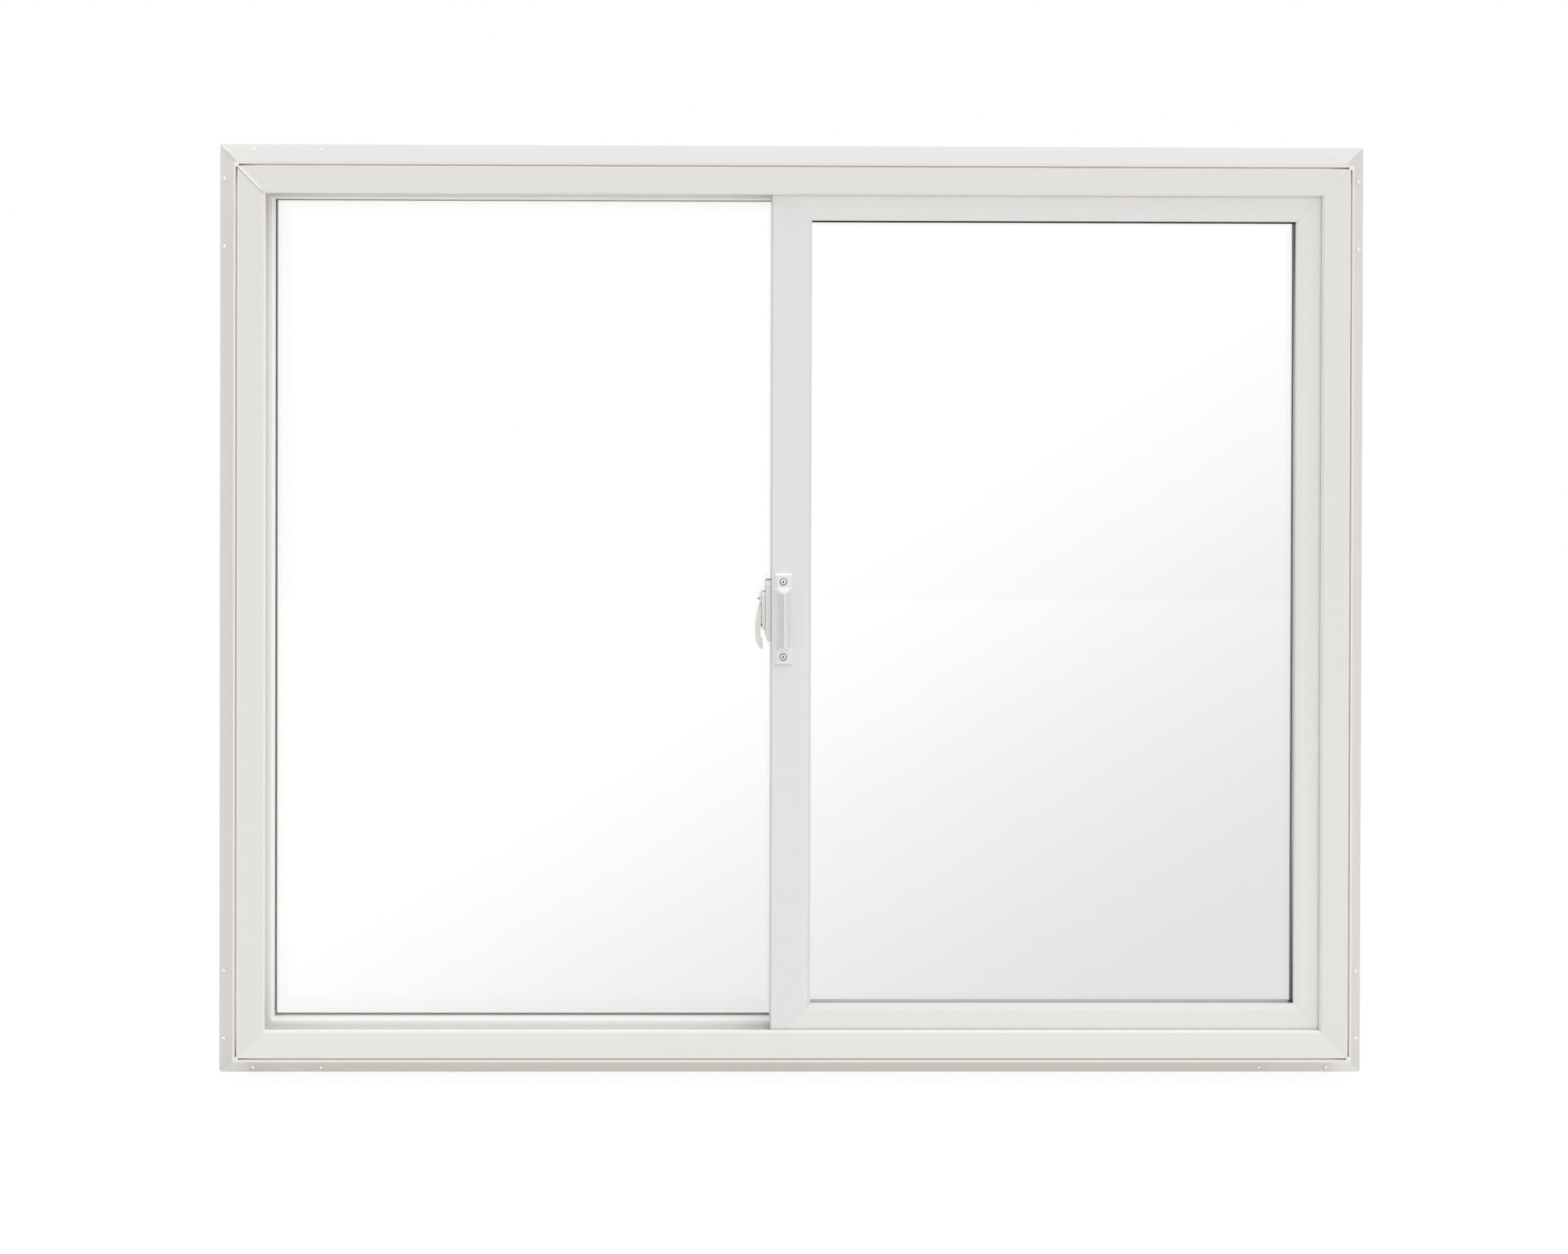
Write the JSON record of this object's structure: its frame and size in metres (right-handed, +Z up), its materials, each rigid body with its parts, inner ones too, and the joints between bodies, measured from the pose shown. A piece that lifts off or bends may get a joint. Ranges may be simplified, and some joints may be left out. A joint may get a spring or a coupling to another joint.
{
  "type": "pvc sliding window",
  "caption": "White PVC sliding window with a fixed light, a sash in the inner track, a pull handle, a sweep lock and a nail fin.",
  "frame": {"origin": "middle of the bottom nail line, on the face of the nail fin that lies on the wall sheathing", "axes": "+X right as seen from the room, +Y towards the outdoors, +Z up"},
  "size_m": [1.577, 0.1005, 1.279],
  "materials": {
    "frame_pvc": "white extruded PVC, satin",
    "sash_pvc": "white extruded PVC, satin",
    "pane_glass": "clear float glass",
    "spacer_metal": "mill finish seen through glass edge",
    "glazing_rubber": "matt black",
    "pile": "grey woven pile",
    "handle_plastic": "white moulded plastic, semi-gloss",
    "lock_plastic": "white moulded plastic, semi-gloss",
    "moulded_plastic": "moulded plastic, matt",
    "screw_steel": "zinc-plated steel"
  },
  "bodies": {
    "root": {"fixed_bead_bottom": "frame_pvc", "fixed_bead_left": "frame_pvc", "fixed_bead_right": "frame_pvc", "fixed_bead_top": "frame_pvc", "fixed_glass_outdoor": "pane_glass", "fixed_glass_room": "pane_glass", "fixed_glass_spacer": "spacer_metal", "fixed_glazing_tape": "glazing_rubber", "fixed_meeting_rail": "frame_pvc", "fixed_setting_blocks": "glazing_rubber", "frame_head": "frame_pvc", "frame_left_jamb": "frame_pvc", "frame_right_jamb": "frame_pvc", "frame_sill": "frame_pvc", "handle_screws": "screw_steel", "head_lift_blocks": "moulded_plastic", "lock_base": "lock_plastic", "lock_body": "lock_plastic", "lock_cam": "screw_steel", "lock_keeper": "screw_steel", "lock_lever": "lock_plastic", "lock_pivot_pin": "screw_steel", "meeting_pile": "pile", "pull_handle": "handle_plastic", "roller_housings": "moulded_plastic", "roller_pins": "screw_steel", "roller_wheels": "moulded_plastic", "sash_bead_bottom": "sash_pvc", "sash_bead_left": "sash_pvc", "sash_bead_right": "sash_pvc", "sash_bead_top": "sash_pvc", "sash_bottom_rail": "sash_pvc", "sash_glass_outdoor": "pane_glass", "sash_glass_room": "pane_glass", "sash_glass_spacer": "spacer_metal", "sash_glazing_tape": "glazing_rubber", "sash_jamb_stile": "sash_pvc", "sash_meeting_stile": "sash_pvc", "sash_pile_outdoor": "pile", "sash_pile_room": "pile", "sash_setting_blocks": "glazing_rubber", "sash_top_rail": "sash_pvc", "sill_roller_track": "frame_pvc", "weep_covers": "frame_pvc"}
  },
  "joints": []
}
